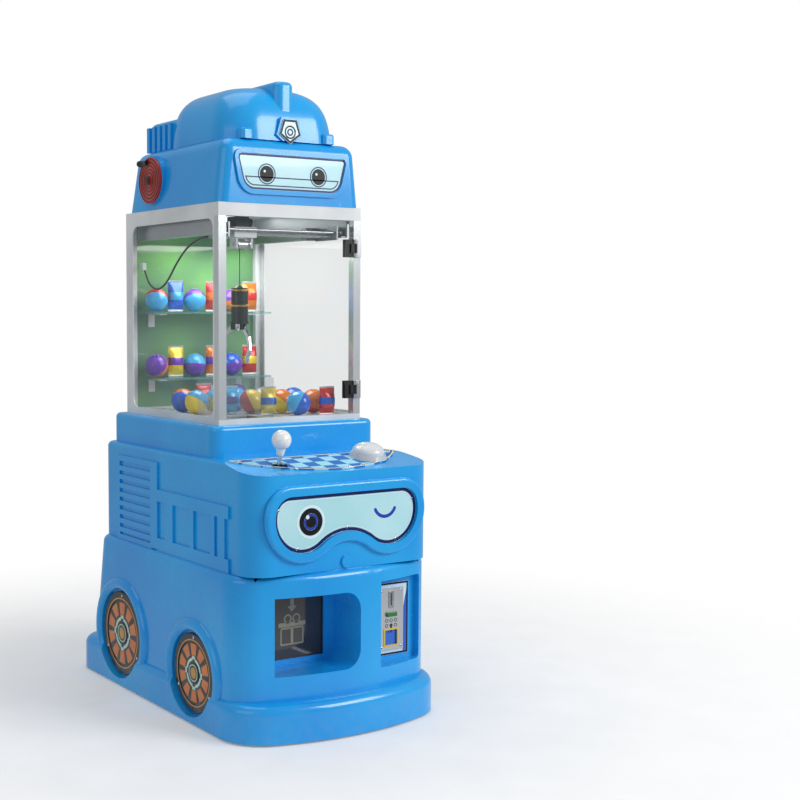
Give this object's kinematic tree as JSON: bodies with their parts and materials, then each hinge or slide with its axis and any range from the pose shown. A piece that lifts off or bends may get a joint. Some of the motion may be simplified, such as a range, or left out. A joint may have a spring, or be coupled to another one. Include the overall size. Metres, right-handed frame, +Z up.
{
  "type": "claw crane machine",
  "caption": "Child-height coin-operated claw crane with a moulded vehicle-shaped base, glazed prize cabinet, travelling crane, joystick console and domed roof.",
  "frame": {"origin": "on the floor under the middle of the base", "axes": "+Z up, +X to the right seen from the front, the front faces -Y"},
  "size_m": [0.556, 0.876, 1.461],
  "materials": {
    "blue_moulding": "glossy moulded",
    "pan_steel": "powder coated",
    "feet_rubber": "moulded",
    "wheel_print": "printed",
    "screw_steel": "polished",
    "face_print": "printed, lit from behind",
    "disc_red": "printed",
    "blue_sheet": "painted",
    "lock_chrome": "polished",
    "hinge_steel": "plated",
    "black_plastic": "moulded",
    "case_steel": "painted",
    "chute_steel": "galvanised",
    "smoked_acrylic": "smoked, glossy",
    "coin_print": "printed",
    "coin_steel": "brushed",
    "reject_green": "moulded",
    "return_blue": "painted",
    "panel_print": "printed",
    "shaft_steel": "polished",
    "knob_clear": "translucent",
    "button_grey": "moulded",
    "button_white": "translucent",
    "cabinet_white": "powder coated",
    "post_aluminium": "anodised",
    "clear_glass": "clear",
    "shelf_glass": "clear",
    "back_print": "printed",
    "deck_board": "laminated",
    "lamp": "lit",
    "clamp_black": "satin",
    "rail_aluminium": "anodised",
    "trolley_white": "moulded",
    "cord_black": "braided",
    "cable_black": "sheathed",
    "claw_black": "satin",
    "finger_chrome": "plated",
    "capsule_plastic": "moulded",
    "packet_card": "printed"
  },
  "bodies": {
    "machine": {"base_shell": "blue_moulding", "body_shell": "blue_moulding", "roof_shell": "blue_moulding", "roof_dome": "blue_moulding", "base_pan": "pan_steel", "levelling_feet": "feet_rubber", "wheel_discs": "wheel_print", "trim_screws": "screw_steel", "goggle_panel": "face_print", "roof_panels": "face_print", "roof_discs": "disc_red", "fixed_hinges": "hinge_steel", "power_inlet": "black_plastic", "control_box": "case_steel", "flap_frame": "case_steel", "prize_chute": "chute_steel", "cash_box": "chute_steel", "coin_panel": "coin_print", "coin_plate": "coin_steel", "coin_mech": "black_plastic", "control_panel": "panel_print", "joystick_housing": "black_plastic", "button_bezel": "button_grey", "cabinet_frame": "cabinet_white", "side_frames": "cabinet_white", "corner_posts": "post_aluminium", "side_glass": "clear_glass", "glass_shelves": "shelf_glass", "chute_guard": "clear_glass", "back_panel": "back_print", "shelf_brackets": "cabinet_white", "prize_deck": "deck_board", "cabinet_lamp": "lamp", "bridge_rails": "rail_aluminium", "bridge_cable": "cable_black", "prize_capsules": "capsule_plastic", "prize_packets": "packet_card"},
    "prize_flap_leaf": {"prize_flap": "smoked_acrylic"},
    "coin_return": {"coin_return_flap": "return_blue"},
    "reject": {"coin_reject_button": "reject_green"},
    "gimbal": {"joystick_gimbal": "case_steel"},
    "stick": {"joystick_shaft": "shaft_steel", "joystick_knob": "knob_clear"},
    "button": {"drop_button": "button_white"},
    "door": {"door_glass": "clear_glass", "door_clamps": "clamp_black"},
    "service_panel": {"service_door": "blue_sheet"},
    "service_cam": {"service_lock": "lock_chrome"},
    "bridge": {"bridge_frame": "rail_aluminium"},
    "axle_front": {"bridge_axle_front": "shaft_steel"},
    "axle_rear": {"bridge_axle_rear": "shaft_steel"},
    "trolley": {"trolley_body": "trolley_white", "hoist_motor": "case_steel", "hoist_cord": "cord_black"},
    "drum": {"hoist_drum": "trolley_white"},
    "claw": {"claw_head": "claw_black"},
    "plunger": {"claw_plunger": "shaft_steel"},
    "finger_1": {"claw_finger_1": "finger_chrome"},
    "finger_2": {"claw_finger_2": "finger_chrome"},
    "finger_3": {"claw_finger_3": "finger_chrome"}
  },
  "joints": [
    {"name": "prize_flap_swing", "type": "hinge", "parent": "machine", "child": "prize_flap_leaf", "pos_m": [-0.08, -0.2807, 0.302], "axis": [1, 0, 0], "range_deg": [0, 70], "stiffness_Nm_per_rad": 0.05, "springref_deg": -20.05},
    {"name": "coin_return_swing", "type": "hinge", "parent": "machine", "child": "coin_return", "pos_m": [0.152, -0.34, 0.202], "axis": [1, 0, 0], "range_deg": [0, 55], "stiffness_Nm_per_rad": 0.005, "springref_deg": -17.19},
    {"name": "coin_reject_press", "type": "slide", "parent": "machine", "child": "reject", "axis": [0, 1, 0], "range_m": [0, 0.005], "stiffness_N_per_m": 300, "springref_m": -0.002},
    {"name": "joystick_fore_aft", "type": "hinge", "parent": "machine", "child": "gimbal", "pos_m": [-0.132, -0.31182, 0.56888], "axis": [1, 0, 0], "range_deg": [-15, 15], "stiffness_Nm_per_rad": 0.8},
    {"name": "joystick_left_right", "type": "hinge", "parent": "gimbal", "child": "stick", "pos_m": [-0.132, -0.31182, 0.56888], "axis": [0, 0.9877, 0.1564], "range_deg": [-15, 15], "stiffness_Nm_per_rad": 0.8},
    {"name": "drop_button_press", "type": "slide", "parent": "machine", "child": "button", "axis": [0, 0.1564, -0.9877], "range_m": [0, 0.004], "stiffness_N_per_m": 500, "springref_m": -0.005},
    {"name": "front_door_swing", "type": "hinge", "parent": "machine", "child": "door", "pos_m": [0.178, -0.167, 0.91], "axis": [0, 0, 1], "range_deg": [0, 110]},
    {"name": "service_door_swing", "type": "hinge", "parent": "machine", "child": "service_panel", "pos_m": [0.138, 0.3533, 0.48], "axis": [0, 0, -1], "range_deg": [0, 110]},
    {"name": "service_lock_turn", "type": "hinge", "parent": "service_panel", "child": "service_cam", "pos_m": [-0.108, 0.34, 0.48], "axis": [0, -1, 0], "range_deg": [0, 90]},
    {"name": "bridge_travel", "type": "slide", "parent": "machine", "child": "bridge", "axis": [0, 1, 0], "range_m": [-0.005, 0.215], "deforming": ["bridge_cable"]},
    {"name": "bridge_axle_front_roll", "type": "hinge", "parent": "bridge", "child": "axle_front", "pos_m": [0, -0.121, 1.1173], "axis": [-1, 0, 0], "range_deg": [-36, 1541]},
    {"name": "bridge_axle_rear_roll", "type": "hinge", "parent": "bridge", "child": "axle_rear", "pos_m": [0, -0.049, 1.1173], "axis": [-1, 0, 0], "range_deg": [-36, 1541]},
    {"name": "trolley_travel", "type": "slide", "parent": "bridge", "child": "trolley", "axis": [1, 0, 0], "range_m": [-0.01, 0.2]},
    {"name": "claw_lift", "type": "slide", "parent": "trolley", "child": "claw", "axis": [0, 0, -1], "range_m": [0, 0.122], "deforming": ["hoist_cord"]},
    {"name": "hoist_drum_turn", "type": "hinge", "parent": "trolley", "child": "drum", "pos_m": [-0.095, -0.0953, 1.084], "axis": [-1, 0, 0], "range_deg": [0, 700]},
    {"name": "claw_finger_1_swing", "type": "hinge", "parent": "claw", "child": "finger_1", "pos_m": [-0.08114, -0.077, 0.892], "axis": [-0.5, 0.866, 0], "range_deg": [0, 14], "stiffness_Nm_per_rad": 0.2, "springref_deg": -17.19},
    {"name": "claw_finger_2_swing", "type": "hinge", "parent": "claw", "child": "finger_2", "pos_m": [-0.10886, -0.077, 0.892], "axis": [-0.5, -0.866, 0], "range_deg": [0, 14]},
    {"name": "claw_finger_3_swing", "type": "hinge", "parent": "claw", "child": "finger_3", "pos_m": [-0.095, -0.101, 0.892], "axis": [1, 0, 0], "range_deg": [0, 14]},
    {"name": "claw_plunger_lift", "type": "slide", "parent": "claw", "child": "plunger", "axis": [0, 0, 1], "range_m": [0, 0.0022]}
  ],
  "couplings": [
    {"joint": "bridge_axle_front_roll", "follows": "bridge_travel", "rad_per_m": 125},
    {"joint": "bridge_axle_rear_roll", "follows": "bridge_travel", "rad_per_m": 125},
    {"joint": "hoist_drum_turn", "follows": "claw_lift", "rad_per_m": 100},
    {"joint": "claw_finger_2_swing", "follows": "claw_finger_1_swing", "ratio": 1},
    {"joint": "claw_finger_3_swing", "follows": "claw_finger_1_swing", "ratio": 1},
    {"joint": "claw_plunger_lift", "follows": "claw_finger_1_swing", "m_per_rad": 0.009}
  ]
}
